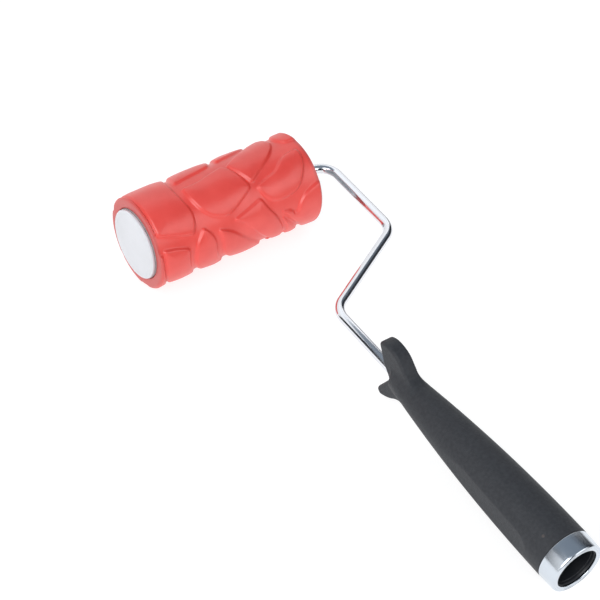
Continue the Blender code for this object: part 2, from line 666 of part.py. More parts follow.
def build():
    start_clean()
    roller = empty("roller_axis")
    rubber_sleeve(roller)
    core_tube(roller)
    outer_cover(roller)
    hub("outer_hub", OUTER_HUB_X, -1, "grey_plastic", roller, flange=False)
    hub("inner_hub", INNER_HUB_X, 1, "white_plastic", roller, flange=True)
    flanged_bush("outer_bush", OUTER_HUB_X, -1, roller)
    flanged_bush("inner_bush", INNER_HUB_X, 1, roller)
    spacer_tube(roller)
    outer_face = -bush_outer_end(OUTER_HUB_X) - GAP
    inner_face = bush_outer_end(INNER_HUB_X) + GAP
    bore_r = WIRE_R + GAP
    collar = inner_face + WASHER + GAP
    ring("outer_washer", outer_face - WASHER, outer_face, bore_r, OUTER_WASHER_R, "zinc_steel", None)
    ring("inner_washer", inner_face, inner_face + WASHER, bore_r, INNER_WASHER_R, "zinc_steel", None)
    ring("stop_collar", collar, collar + COLLAR_LENGTH, bore_r, COLLAR_R, "zinc_steel", None)
    push_nut()
    frame_wire()
    handle_core()
    grip_skin()
    core_pin()
    pole_socket()
    ferrule()
    loose = [thing for thing in bpy.data.objects if thing.parent is None]
    tool = empty("tool_middle")
    tool.location = -TOOL_MIDDLE
    for thing in loose:
        thing.parent = tool


build()
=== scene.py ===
"""The looks of the textured pattern roller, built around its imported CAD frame.

Lengths are in metres, except in the two tables of outline corners, PADS and HEAD, which say what they use.
+X runs along the roller's spin axis, the handle points along -Y, and +Z is up. Pieces are laid out from the
middle of the sleeve, on the spin axis, and then moved to where the CAD has that point.
"""

import json
import math

import bmesh
import bpy
import numpy as np
from mathutils import Matrix, Vector, noise


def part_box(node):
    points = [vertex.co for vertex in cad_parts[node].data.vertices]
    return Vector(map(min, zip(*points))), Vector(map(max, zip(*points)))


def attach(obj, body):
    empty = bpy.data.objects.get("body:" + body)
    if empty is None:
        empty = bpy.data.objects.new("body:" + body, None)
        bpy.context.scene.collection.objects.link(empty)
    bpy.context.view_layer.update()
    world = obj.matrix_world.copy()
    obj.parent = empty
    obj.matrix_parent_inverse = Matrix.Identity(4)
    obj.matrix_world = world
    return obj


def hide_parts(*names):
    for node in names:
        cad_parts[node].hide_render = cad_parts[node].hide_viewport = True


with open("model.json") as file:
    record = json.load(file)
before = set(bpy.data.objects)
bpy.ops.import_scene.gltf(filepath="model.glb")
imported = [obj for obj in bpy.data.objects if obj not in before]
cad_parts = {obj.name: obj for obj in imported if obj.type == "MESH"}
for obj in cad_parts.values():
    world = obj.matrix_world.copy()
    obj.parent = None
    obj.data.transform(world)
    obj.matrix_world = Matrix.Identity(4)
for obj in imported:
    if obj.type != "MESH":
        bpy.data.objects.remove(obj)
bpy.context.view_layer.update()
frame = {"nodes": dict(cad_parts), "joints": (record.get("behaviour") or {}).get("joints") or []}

MM = 0.001

# ---------------------------------------------------------------- places, from the frame
SPIN = Vector(frame["joints"][0]["pos_m"])


def placed(node):
    """A CAD node's lowest and highest corners, from the middle of the sleeve."""
    low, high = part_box(node)
    return low - SPIN, high - SPIN


_, SLEEVE_HIGH = placed("rubber_sleeve")
_, CORE_HIGH = placed("core_tube")
COVER_LOW, COVER_HIGH = placed("outer_cover")
WIRE_LOW, WIRE_HIGH = placed("frame_wire")
SKIN_LOW, _ = placed("grip_skin")
FERRULE_LOW, FERRULE_HIGH = placed("ferrule")
SOCKET_LOW, SOCKET_HIGH = placed("pole_socket")

HANDLE_X = (FERRULE_LOW.x + FERRULE_HIGH.x) / 2
WIRE_R = (WIRE_HIGH.z - WIRE_LOW.z) / 2
ARM_X = WIRE_HIGH.x - WIRE_R
SEAM_Y = SKIN_LOW.y
END_Y = FERRULE_LOW.y
GRIP_R = (FERRULE_HIGH.x - FERRULE_LOW.x) / 2
SLEEVE_HALF = SLEEVE_HIGH.x
PAD_R = SLEEVE_HIGH.z

# ---------------------------------------------------------------- driving dimensions
GROOVE_DEPTH = 0.0026
PAD_WALL = 0.0014  # width of a pad's sloping wall
WALL_EASE = 0.0005  # how much a wall's foot and brow are rounded
PAD_CROWN = 0.0008  # how much higher a pad's middle is than its edge
CROWN_REACH = 0.011  # how far in from the edge the crown is full
RIPPLE = 0.00012  # height and size of the rubber's slight unevenness
RIPPLE_SIZE = 0.012
SLEEVE_EDGE = 0.0030
SHORT_LEFT = 0.0006  # how far the rubber stops short of the covered end
BORE_R = CORE_HIGH.z + 0.0003
BORE_LIP = 0.0004
CAP_R = COVER_HIGH.z + 0.0008
CAP_WALL = 0.0016
CAP_DISH = 0.00025  # how far the cover's face sits below its rim
KNEE_Y = -0.0752
ELBOW_Y = -0.1176
AXLE_BEND = 0.013
KNEE_BEND = 0.016
NECK_Y = -0.2000
NECK_R = 0.0100
GRIP_SWELL = 2.1
NOSE_END_Y = -0.1850
NOSE_LENGTH = 0.022
NOSE_TAPER = 0.42  # share of its radius that the neck loses along the nose
NOSE_POWER = 1.6
HEAD_HALF = 0.0052  # half the flared head's thickness
HEAD_EASE = 0.0020
HEAD_BLEND = 0.0040
FAN_Y = -0.1960  # the point inside the head that its rings fan out from
BLEND_Y = -0.2180  # where the plain grip hands over to the head
SKIN_THICKNESS = 0.0019
SKIN_RETURN = 0.0030  # how far in from the seam the skin keeps that thickness
WIRE_GAP = 0.00025
PIN_Y = -0.3363
PIN_TURN_DEG = -36  # about the handle's axis, from +Z
PIN_R = 0.0008
PIN_LENGTH = 0.0030
FLAT_HALF_DEG = 24  # half the angle that the grip's flat takes on each side
FLAT_Y = (-0.2350, -0.2720, -0.3180, -0.3325)  # where the flat starts, is full, starts to close, ends
FLAT_EASE = 0.00025
FERRULE_WALL = 0.0009
LIP_R = 0.0172
EYE_R = 0.0143
LIP_LINE = 0.00018  # depth and half the width of the fine lines on the lip
LINE_EASE = 0.00005
MOUTH_R = 0.0136
SOCKET_END_R = 0.0130
SOCKET_FLOOR = 0.0020
FLOOR_GAP = 0.0002

# How the surface of the handle is searched for along each ray.
RAY_REACH = 0.045
RAY_STEPS = 24
RAY_HALVINGS = 14

# Sockets of a colour Mix node. Their names are shared with its other types, so they go by number.
MIX_A, MIX_B, MIX_OUT = 6, 7, 2

# Pads of the sleeve, unrolled: millimetres along the spin axis, degrees around it from +Z towards +Y, and
# how far each corner is eased in millimetres. A pad that runs past the sleeve's end is cut off there.
PADS = {
    "end_slab": [
        (-61.2, 72, 3), (-36, 74, 5), (-31, 56, 8), (-31, 42, 8), (-34, 26, 10), (-35, 6, 12),
        (-34, -14, 12), (-31.5, -31, 8), (-33, -46, 8), (-36, -58, 3), (-50, -51, 8), (-61.2, -44, 3),
    ],
    "end_rim": [(-70, 72, 1), (-62.3, 72, 1), (-62.3, 20, 8), (-62.3, -41, 2), (-70, -37, 1)],
    "low_rim": [
        (-70, -66, 2), (-61.7, -68, 2), (-61.3, -94, 8), (-58.1, -116, 8), (-54.0, -138, 5), (-56, -150, 3),
        (-70, -152, 2),
    ],
    "low_slab": [
        (-60, -63, 2), (-49, -67, 8), (-41, -73, 3), (-41.5, -88, 8), (-40.5, -102, 8), (-37, -117, 8),
        (-33, -134, 6), (-38, -150, 5), (-51, -154, 5), (-52.8, -138, 5), (-56.8, -116, 8), (-60, -94, 10),
    ],
    "leaf": [
        (-28.5, -55, 2), (-24, -64, 8), (-21, -76, 8), (-20.5, -94, 10), (-18, -110, 8), (-12, -126, 6),
        (-11, -140, 4), (-22, -142, 6), (-32, -124, 8), (-36.5, -104, 10), (-37, -86, 10), (-35, -70, 6),
    ],
    "thorn": [
        (-17.5, -65, 2), (-9, -72, 8), (-1, -86, 8), (5, -98, 8), (12, -111, 8), (19, -124, 5),
        (15, -140, 4), (0, -143, 5), (-8, -124, 8), (-13.5, -108, 8), (-15.5, -92, 8), (-16, -78, 8),
    ],
    "kite": [
        (-4.5, -61, 2), (7, -55, 10), (18, -48.5, 2.5), (21, -62, 8), (26.5, -77, 8), (30.5, -92, 6),
        (34, -110, 6), (35.5, -127, 3), (27.5, -128, 3), (21, -112, 6), (14.5, -98, 8), (8, -83, 8),
        (3, -71, 8),
    ],
    "centre": [
        (-29, 3, 2.5), (-18, 2.5, 8), (-6, 8, 8), (5, 13, 3), (8, 6, 6), (10.5, -8, 10), (14.5, -31, 3),
        (8, -38, 8), (-2, -48, 8), (-10, -53, 10), (-19, -47, 10), (-25, -36, 8), (-28.5, -18, 10),
    ],
    "crest": [
        (-30, 16, 2.5), (-18, 20, 8), (-6, 24, 8), (0, 27, 3), (4, 40, 6), (5, 56, 4), (-8, 66, 6),
        (-24, 64, 5), (-27, 46, 8),
    ],
    "wedge": [(7.5, 30, 2.5), (20, 35, 8), (30, 43, 8), (37, 54, 4), (33, 66, 5), (11, 67, 4), (8.5, 50, 8)],
    "blade": [
        (8.5, 10, 2.5), (18, 21, 8), (28, 31, 8), (37, 42, 8), (43, 53, 3), (48, 53, 3), (48.5, 36, 8),
        (48.5, 21, 8), (44, 7, 8), (37, -4, 8), (28, -14, 8), (17, -26, 2), (14, -14, 8), (11, 0, 8),
    ],
    "shield": [
        (18.5, -33, 2.5), (28, -28, 6), (36, -25, 6), (43, -14, 6), (50, -8, 6), (59, -5, 4), (59.5, -18, 8),
        (57, -32, 8), (52, -46, 8), (46, -57, 8), (36, -60.5, 8), (27, -59, 8), (21, -47, 8),
    ],
    "tab": [(70, 9, 2), (57, 10, 4), (53, 18, 5), (52, 32, 8), (55, 48, 5), (70, 52, 2)],
    "corner": [
        (70, -56, 2), (60, -58, 5), (51, -65, 4), (46.5, -74, 4), (44.5, -85, 3), (41.5, -86, 3),
        (38.5, -78, 3), (32, -75.5, 2.5), (36.5, -88, 6), (43, -102, 8), (49, -117, 8), (53, -134, 4),
        (70, -140, 2),
    ],
    "foot": [
        (32.5, -86, 1.5), (38, -99, 8), (44, -112, 8), (48, -125, 3), (46, -134, 4), (39, -136, 4),
        (38.5, -122, 6), (36, -104, 8),
    ],
    "heel": [(36, -141, 3), (50, -140, 4), (49, -149, 4), (38, -151, 4), (27, -147, 4), (27, -137, 3)],
    "rear_slab": [(-70, 82, 2), (-44, 84, 4), (-40, 100, 8), (-42, 120, 8), (-47, 136, 4), (-70, 140, 2)],
    "rear_kite": [
        (-36, 84, 3), (-22, 75, 5), (-10, 77, 4), (-8, 92, 8), (-12, 110, 8), (-24, 118, 5), (-35, 108, 8),
    ],
    "rear_blade": [
        (-3, 75, 3), (10, 75, 5), (18, 79, 5), (23, 94, 8), (18, 112, 6), (4, 116, 5), (-5, 106, 5),
        (-3, 90, 8),
    ],
    "rear_end": [
        (70, 62, 2), (48, 64, 5), (30, 74, 5), (29, 88, 8), (34, 106, 8), (46, 118, 5), (70, 120, 2),
    ],
    "rear_low": [(-70, 150, 2), (-46, 147, 4), (-36, 158, 6), (-33, 174, 8), (-40, 190, 5), (-70, 192, 2)],
    "rear_oval": [
        (-38, 124, 5), (-26, 128, 8), (-12, 122, 8), (-4, 132, 6), (-3, 148, 8), (-10, 164, 6),
        (-22, 170, 6), (-31, 158, 8), (-38, 142, 8),
    ],
    "rear_leaf": [
        (2, 124, 4), (16, 122, 6), (26, 116, 4), (32, 128, 6), (34, 146, 8), (28, 162, 6), (14, 166, 5),
        (4, 150, 8),
    ],
    "rear_corner": [
        (70, 130, 2), (46, 128, 5), (40, 142, 8), (42, 162, 8), (48, 182, 6), (54, 206, 6), (70, 210, 2),
    ],
    "rear_thorn": [
        (-26, 180, 4), (-10, 174, 6), (2, 168, 5), (8, 178, 6), (4, 196, 6), (-8, 206, 4), (-22, 204, 4),
        (-28, 192, 5),
    ],
    "rear_wedge": [
        (14, 174, 4), (28, 172, 5), (38, 170, 4), (42, 186, 6), (44, 202, 4), (30, 206, 6), (14, 208, 4),
        (12, 190, 6),
    ],
}

# Side view of the flared head: millimetres along Y and Z, and how far each corner is eased.
HEAD = [
    (-206, 8, 1), (-199, 11.2, 4), (-193, 16.6, 5), (-187.5, 21.2, 5), (-180, 23, 5), (-173.5, 22.8, 4),
    (-167.6, 19.6, 3), (-171, 13.6, 6), (-174.4, 6.2, 5), (-178.2, 2.2, 4), (-182.2, -2.4, 0.8),
    (-178.6, -8.2, 4), (-171.6, -19.6, 3), (-175.2, -23, 3), (-184, -19.2, 6), (-191, -13.2, 6),
    (-206, -8, 1),
]


# ---------------------------------------------------------------- mesh helpers
def linked(name, data):
    made = bpy.data.objects.new(name, data)
    bpy.context.scene.collection.objects.link(made)
    return made


def object_from_grid(name, points, closed_along=False, sharp_degrees=40):
    """A mesh from an array of rings (rings, points per ring, 3). Rings close on themselves."""
    rings, around, _ = points.shape
    i = np.arange(rings if closed_along else rings - 1)
    i, j = np.meshgrid(i, np.arange(around), indexing="ij")
    here = i * around
    after = (i + 1) % rings * around
    after_j = (j + 1) % around
    quads = np.stack([here + j, here + after_j, after + after_j, after + j], -1)
    mesh = bpy.data.meshes.new(name)
    mesh.from_pydata(points.reshape(-1, 3).tolist(), [], quads.reshape(-1, 4).tolist())
    bm = bmesh.new()
    bm.from_mesh(mesh)
    bmesh.ops.remove_doubles(bm, verts=bm.verts, dist=1e-7)
    bmesh.ops.recalc_face_normals(bm, faces=bm.faces)
    bm.to_mesh(mesh)
    bm.free()
    mesh.shade_smooth()
    mesh.set_sharp_from_angle(angle=math.radians(sharp_degrees))
    return linked(name, mesh)


def turned(name, profile, axis, centre=(0, 0, 0), steps=128):
    """A solid turned about an axis. The profile is (along, radius) pairs; radius 0 closes on the axis."""
    angles = np.arange(steps) * math.tau / steps
    rings = []
    for along, radius in profile:
        a = radius * np.sin(angles)
        b = radius * np.cos(angles)
        s = np.full(steps, along)
        rings.append(np.stack([s, a, b] if axis == "X" else [a, s, b], -1))
    points = np.array(rings) + np.array(centre)
    closed = profile[0][1] > 0 and profile[-1][1] > 0
    return object_from_grid(name, points, closed)


def eased_corner(before, here, after, ease, steps):
    """The curve that replaces a corner. It starts and ends an ease away, but never past half a side."""
    run_in = np.linalg.norm(before - here)
    run_out = np.linalg.norm(after - here)
    reach = min(ease, 0.48 * run_in, 0.48 * run_out)
    start = here + (before - here) / run_in * reach
    end = here + (after - here) / run_out * reach
    return [(1 - t) ** 2 * start + 2 * t * (1 - t) * here + t * t * end for t in np.linspace(0, 1, steps)]


def eased_profile(corners):
    """Open profile of (along, radius, ease): each inner corner becomes a small curve."""
    points = [np.array(c[:2]) for c in corners]
    profile = [points[0]]
    for before, here, after, (_, _, ease) in zip(points, points[1:], points[2:], corners[1:]):
        profile += eased_corner(before, here, after, ease, 6) if ease > 0 else [here]
    profile.append(points[-1])
    return [tuple(p) for p in profile]


def eased_outline(corners, to_plane):
    """The closed outline through corners of (a, b, ease in millimetres), with every corner eased."""
    points = [np.array(to_plane(a, b)) for a, b, _ in corners]
    outline = []
    for i, (_, _, ease) in enumerate(corners):
        outline += eased_corner(points[i - 1], points[i], points[(i + 1) % len(points)], ease * MM, 8)
    return np.array(outline)


def signed_distance(points, outline):
    """Distance from each point to the outline, positive inside it."""
    best = np.full(len(points), np.inf)
    inside = np.zeros(len(points), bool)
    for a, b in zip(outline, np.roll(outline, -1, axis=0)):
        edge = b - a
        length_squared = edge @ edge
        if length_squared < 1e-16:
            continue
        t = np.clip((points - a) @ edge / length_squared, 0, 1)
        away = points - (a + t[:, None] * edge)
        best = np.minimum(best, np.einsum("ij,ij->i", away, away))
        crosses = (a[1] > points[:, 1]) != (b[1] > points[:, 1])
        if a[1] != b[1]:
            at = a[0] + (points[:, 1] - a[1]) / (b[1] - a[1]) * edge[0]
            inside ^= crosses & (points[:, 0] < at)
    distance = np.sqrt(best)
    return np.where(inside, distance, -distance)


def smooth(t):
    t = np.clip(t, 0, 1)
    return t * t * (3 - 2 * t)


def soft_noise(points, size):
    """Smooth noise from about -1 to 1 at 3-D points, with features of this size."""
    shift = Vector((13.7, 5.1, 9.3))
    return np.array([noise.noise(Vector(p) / size + shift) for p in points])


# ---------------------------------------------------------------- rubber sleeve
def unrolled(x_mm, degrees):
    return x_mm * MM, math.radians(degrees) * PAD_R


def eased_step(inside):
    """Rises from 0 to 1 across a pad's wall: a straight slope with a rounded foot and brow."""
    foot = np.hypot(inside + PAD_WALL / 2, WALL_EASE) - WALL_EASE / 2
    brow = np.hypot(inside - PAD_WALL / 2, WALL_EASE) - WALL_EASE / 2
    return np.clip(0.5 + (foot - brow) / (2 * PAD_WALL), 0, 1)


def pad_relief(points):
    """Height above the groove floor at unrolled points."""
    height = np.zeros(len(points))
    full = GROOVE_DEPTH - PAD_CROWN
    for corners in PADS.values():
        outline = eased_outline(corners, unrolled)
        low = outline.min(0) - 2 * PAD_WALL
        high = outline.max(0) + 2 * PAD_WALL
        for turns in (-1, 0, 1):
            shifted = points + np.array([0, turns * math.tau * PAD_R])
            near = np.all((shifted > low) & (shifted < high), axis=1)
            if not near.any():
                continue
            inside = signed_distance(shifted[near], outline)
            wall = eased_step(inside)
            crown = np.clip(inside / CROWN_REACH, 0, 1)
            rise = full * wall + PAD_CROWN * crown * (2 - crown)
            height[near] = np.maximum(height[near], rise)
    return height


def rubber_sleeve():
    """The moulded sleeve: pads raised over grooves outside, rounded rims, and a plain bore."""
    around = 640
    lengthwise = 400
    rim_steps = 8
    left = -SLEEVE_HALF + SHORT_LEFT
    rim = SLEEVE_EDGE * np.sin(np.linspace(0, math.pi / 2, rim_steps + 1)[:-1]) ** 2
    middle = np.linspace(left + SLEEVE_EDGE, SLEEVE_HALF - SLEEVE_EDGE, lengthwise)
    stations = np.concatenate([left + rim, middle, (SLEEVE_HALF - rim)[::-1]])
    angles = np.arange(around) * math.tau / around
    along, turn = np.meshgrid(stations, angles, indexing="ij")
    flat = np.stack([along.ravel(), turn.ravel() * PAD_R], -1)
    radius = (PAD_R - GROOVE_DEPTH + pad_relief(flat)).reshape(along.shape)
    place = np.stack([along, PAD_R * np.sin(turn), PAD_R * np.cos(turn)], -1).reshape(-1, 3)
    radius += RIPPLE * soft_noise(place, RIPPLE_SIZE).reshape(along.shape)
    depth = np.minimum(SLEEVE_EDGE, np.minimum(SLEEVE_HALF - along, along - left))
    drop = SLEEVE_EDGE - np.sqrt(np.maximum(0, SLEEVE_EDGE**2 - (SLEEVE_EDGE - depth) ** 2))
    radius = np.minimum(radius, PAD_R - drop)
    outside = np.stack([along, radius * np.sin(turn), radius * np.cos(turn)], -1)

    def ring(x, r):
        return np.stack([np.full(around, x), r * np.sin(angles), r * np.cos(angles)], -1)

    bore = [
        ring(SLEEVE_HALF, BORE_R + 2 * BORE_LIP), ring(SLEEVE_HALF - 0.3 * BORE_LIP, BORE_R + 0.6 * BORE_LIP),
        ring(SLEEVE_HALF - BORE_LIP, BORE_R), ring(left + BORE_LIP, BORE_R),
        ring(left + 0.3 * BORE_LIP, BORE_R + 0.6 * BORE_LIP), ring(left, BORE_R + 2 * BORE_LIP),
    ]
    points = np.concatenate([outside, np.array(bore)])
    return object_from_grid("sleeve_rubber", points, closed_along=True, sharp_degrees=60)


# ---------------------------------------------------------------- handle
def grip_radius(y):
    share = (NECK_Y - y) / (NECK_Y - SEAM_Y)
    swell = NECK_R + (GRIP_R - NECK_R) * (1 - np.clip(1 - share, 0, None) ** GRIP_SWELL)
    return np.where(share > 0, swell, NECK_R)


def smooth_union(a, b, reach):
    """The smaller of two values, with a soft change from one to the other."""
    h = np.clip(0.5 + 0.5 * (b - a) / reach, 0, 1)
    return b * (1 - h) + a * h - reach * h * (1 - h)


def distance_reader(outline, margin, step):
    """A function that reads the signed distance to an outline from a grid worked out once."""
    low = outline.min(0) - margin
    count = np.ceil((outline.max(0) + margin - low) / step).astype(int) + 1
    u, v = np.meshgrid(*(low[k] + step * np.arange(count[k]) for k in (0, 1)), indexing="ij")
    grid = signed_distance(np.stack([u.ravel(), v.ravel()], -1), outline).reshape(count)

    def read(points):
        inside = np.clip(points, low, low + step * (count - 1))
        at = (inside - low) / step
        cell = np.minimum(at.astype(int), count - 2)
        i, j = cell.T
        s, t = (at - cell).T
        near = grid[i, j] * (1 - s) + grid[i + 1, j] * s
        far = grid[i, j + 1] * (1 - s) + grid[i + 1, j + 1] * s
        return near * (1 - t) + far * t - np.linalg.norm(points - inside, axis=1)

    return read


HEAD_SIDE = distance_reader(eased_outline(HEAD, lambda y, z: (y * MM, z * MM)), 0.010, 0.0002)


def flat_radius(y, turn):
    """Distance from the axis to the flats on the grip's two sides, at an angle from +Z."""
    start, full, closing, end = FLAT_Y
    opening = smooth((start - y) / (start - full))
    ending = np.sqrt(np.clip(1 - (np.clip(closing - y, 0, None) / (closing - end)) ** 2, 0, 1))
    half = math.radians(FLAT_HALF_DEG) * opening * ending
    off = np.abs(np.abs(turn) - math.pi / 2)
    return grip_radius(y) * np.cos(half) / np.cos(np.minimum(off, 1.2))


def handle_field(p):
    """Signed distance to the handle's outside, negative within it. Points are relative to its axis."""
    off_axis = np.hypot(p[:, 0], p[:, 2])
    nose = np.clip((p[:, 1] - NECK_Y) / NOSE_LENGTH, 0, 1)
    radius = grip_radius(p[:, 1]) * (1 - NOSE_TAPER * nose**NOSE_POWER)
    body = np.maximum(off_axis - radius, p[:, 1] - NOSE_END_Y)
    across = np.abs(p[:, 0]) - HEAD_HALF + HEAD_EASE
    edge = HEAD_EASE - HEAD_SIDE(p[:, 1:])
    past = np.hypot(np.maximum(across, 0), np.maximum(edge, 0))
    plate = np.minimum(np.maximum(across, edge), 0) + past - HEAD_EASE
    return smooth_union(body, plate, HEAD_BLEND)


def march(origins, directions):
    """Distance along each ray to where it first leaves the handle, starting inside it."""
    near = np.zeros(len(origins))
    far = np.full(len(origins), RAY_REACH)
    found = np.zeros(len(origins), bool)
    for k in range(1, RAY_STEPS + 1):
        t = RAY_REACH * k / RAY_STEPS
        outside = handle_field(origins + directions * t) > 0
        first = outside & ~found
        far[first] = t
        near[first] = RAY_REACH * (k - 1) / RAY_STEPS
        found |= outside
    for _ in range(RAY_HALVINGS):
        middle = (near + far) / 2
        outside = handle_field(origins + directions * middle[:, None]) > 0
        far = np.where(outside, middle, far)
        near = np.where(outside, near, middle)
    return (near + far) / 2


def even_ring(ring, count):
    """The closed ring's points spread evenly along its length."""
    closed = np.vstack([ring, ring[:1]])
    run = np.concatenate([[0], np.cumsum(np.linalg.norm(np.diff(closed, axis=0), axis=1))])
    at = np.arange(count) * run[-1] / count
    return np.stack([np.interp(at, run, closed[:, k]) for k in range(3)], -1)


def handle_grip():
    """The soft skin: rings along the grip, then rings fanned about one point inside the flared head."""
    around = 200
    fine_around = 4 * around
    grip_rings = 190
    neck_rings = 46
    head_rings = 110
    last_lift_deg = 80
    turn = np.arange(around) * math.tau / around
    turn = np.where(turn > math.pi, turn - math.tau, turn)
    side = np.stack([np.sin(turn), np.zeros(around), np.cos(turn)], -1)
    fine = np.arange(fine_around) * math.tau / fine_around
    fine_side = np.stack([np.sin(fine), np.zeros(fine_around), np.cos(fine)], -1)
    rings = []
    for y in np.linspace(SEAM_Y, BLEND_Y, grip_rings)[:-1]:
        full = grip_radius(np.full(around, y))
        radius = smooth_union(full, flat_radius(y, turn), FLAT_EASE)
        rings.append(side * radius[:, None] + (0, y, 0))
    fans = [(y, 0.0) for y in np.linspace(BLEND_Y, FAN_Y, neck_rings)]
    fans += [(FAN_Y, lift) for lift in np.radians(np.linspace(0, last_lift_deg, head_rings))[1:]]
    for y, lift in fans:
        directions = fine_side * math.cos(lift) + np.array((0, math.sin(lift), 0))
        distance = march(np.tile((0.0, y, 0.0), (fine_around, 1)), directions)
        rings.append(even_ring(directions * distance[:, None] + (0, y, 0), around))
    hole = WIRE_R + WIRE_GAP
    rings.append(side * hole + rings[-1] * (0, 1, 0))
    rings.append(side * hole + (0, FAN_Y, 0))
    inner = GRIP_R - SKIN_THICKNESS
    rings.append(side * inner + (0, SEAM_Y + SKIN_RETURN, 0))
    rings.append(side * inner + (0, SEAM_Y, 0))
    points = np.array(rings) + (HANDLE_X, 0, 0)
    return object_from_grid("handle_grip", points, closed_along=True, sharp_degrees=50)


# ---------------------------------------------------------------- wire
def wire_path():
    """Points along the wire's middle: straight runs joined by arcs."""
    bend_steps = 24
    corners = [
        (Vector((WIRE_LOW.x, 0, 0)), 0),
        (Vector((ARM_X, 0, 0)), AXLE_BEND),
        (Vector((ARM_X, KNEE_Y, 0)), KNEE_BEND),
        (Vector((HANDLE_X, ELBOW_Y, 0)), KNEE_BEND),
        (Vector((HANDLE_X, WIRE_LOW.y, 0)), 0),
    ]
    path = [corners[0][0]]
    for (before, _), (here, radius), (after, _) in zip(corners, corners[1:], corners[2:]):
        way_in = (here - before).normalized()
        way_out = (after - here).normalized()
        turn = way_in.angle(way_out)
        start = here - way_in * radius * math.tan(turn / 2)
        side = (way_out - way_in * way_in.dot(way_out)).normalized()
        for i in range(bend_steps + 1):
            a = turn * i / bend_steps
            path.append(start + way_in * radius * math.sin(a) + side * radius * (1 - math.cos(a)))
    path.append(corners[-1][0])
    return path


def frame_wire():
    path = wire_path()
    tip = 0.0010  # length of the slight taper at each end
    path.insert(1, path[0] + (path[1] - path[0]).normalized() * tip)
    path.insert(-1, path[-1] + (path[-2] - path[-1]).normalized() * tip)
    sides = 48
    rings = []
    for i, point in enumerate(path):
        before = path[max(i - 1, 0)]
        after = path[min(i + 1, len(path) - 1)]
        along = (after - before).normalized()
        side = along.cross(Vector((0, 0, 1)))
        r = WIRE_R - 0.7 * tip if i in (0, len(path) - 1) else WIRE_R
        a = np.arange(sides) * math.tau / sides
        ring = np.outer(np.cos(a) * r, side) + np.outer(np.sin(a) * r, (0, 0, 1)) + np.array(point)
        rings.append(ring)
    rings.insert(0, np.tile(np.array(path[0]), (sides, 1)))
    rings.append(np.tile(np.array(path[-1]), (sides, 1)))
    return object_from_grid("frame_rod", np.array(rings), sharp_degrees=35)


# ---------------------------------------------------------------- turned pieces
def white_cover():
    """A cap with a slightly raised rim, and a plug that goes into the sleeve's end."""
    face = COVER_LOW.x
    seat = -SLEEVE_HALF - 0.0001
    plug = CAP_R - 0.0025
    inside = face + 0.0022
    corners = [
        (face + CAP_DISH, 0, 0), (face + CAP_DISH, CAP_R - 0.0035, 0.0010), (face, CAP_R - 0.0024, 0.0006),
        (face, CAP_R, 0.0009), (seat, CAP_R, 0), (seat, plug, 0), (COVER_HIGH.x, plug, 0.0003),
        (COVER_HIGH.x, plug - CAP_WALL, 0.0003), (inside, plug - CAP_WALL, 0.0004), (inside, 0, 0),
    ]
    return turned("end_cover", eased_profile(corners), "X", steps=160)


def ferrule_ring():
    """The steel ring, with two fine lines cut in the lip of its end face."""
    front = FERRULE_HIGH.y
    lines = []
    for first in (1, 7):
        lines += [
            (END_Y, LIP_R - first * LIP_LINE, LINE_EASE),
            (END_Y + LIP_LINE, LIP_R - (first + 1) * LIP_LINE, LINE_EASE),
            (END_Y, LIP_R - (first + 2) * LIP_LINE, LINE_EASE),
        ]
    corners = [
        (front, GRIP_R - FERRULE_WALL, 0), (front, GRIP_R, 0.0003), (END_Y + 0.0014, GRIP_R - 0.0003, 0.0003),
        (END_Y + 0.0005, GRIP_R - 0.0005, 0.0002), (END_Y, LIP_R + 0.0003, 0.0003),
        *lines,
        (END_Y + 0.0001, EYE_R, 0.0005), (END_Y + 0.0011, EYE_R, 0.0003),
        (END_Y + 0.0011, LIP_R - FERRULE_WALL, 0.0008),
        (END_Y + 0.0030, GRIP_R - FERRULE_WALL - 0.0006, 0.001), (front, GRIP_R - FERRULE_WALL, 0),
    ]
    profile = eased_profile(corners)[:-1]
    return turned("ferrule_ring", profile, "Y", centre=(HANDLE_X, 0, 0), steps=160)


def socket_cup():
    """The plastic cup inside the ferrule, with a small step a little way in from its mouth."""
    mouth = SOCKET_LOW.y
    bottom = SOCKET_HIGH.y
    outer = (SOCKET_HIGH.x - SOCKET_LOW.x) / 2
    corners = [
        (bottom, 0, 0), (bottom, outer, 0.0005), (mouth, outer, 0.0002), (mouth, MOUTH_R + 0.0003, 0.0003),
        (mouth + 0.0012, MOUTH_R, 0.0004), (mouth + 0.0022, MOUTH_R, 0.0002),
        (mouth + 0.0024, MOUTH_R - 0.0002, 0.0001), (bottom - SOCKET_FLOOR, SOCKET_END_R, 0.0006),
        (bottom - SOCKET_FLOOR, 0, 0),
    ]
    return turned("socket_cup", eased_profile(corners), "Y", centre=(HANDLE_X, 0, 0))


def pin_head():
    """The pin's small domed end, sitting in a shallow flat ring pressed into the skin."""
    skin = float(grip_radius(PIN_Y))
    corners = [
        (-PIN_LENGTH, 0, 0), (-PIN_LENGTH, PIN_R, 0), (-0.0004, PIN_R, 0), (-0.0004, 1.3 * PIN_R, 0),
        (0.00004, 1.2 * PIN_R, 0.00005), (0.00002, 0.9 * PIN_R, 0.0001), (0.00016, 0.6 * PIN_R, 0.0002),
        (0.00020, 0, 0),
    ]
    made = turned("pin_head", eased_profile(corners), "Y", steps=40)
    turn = math.radians(PIN_TURN_DEG)
    outward = Vector((math.sin(turn), 0, math.cos(turn)))
    place = Matrix.Translation(Vector((HANDLE_X, PIN_Y, 0)) + outward * skin)
    made.data.transform(place @ Vector((0, 1, 0)).rotation_difference(outward).to_matrix().to_4x4())
    return made


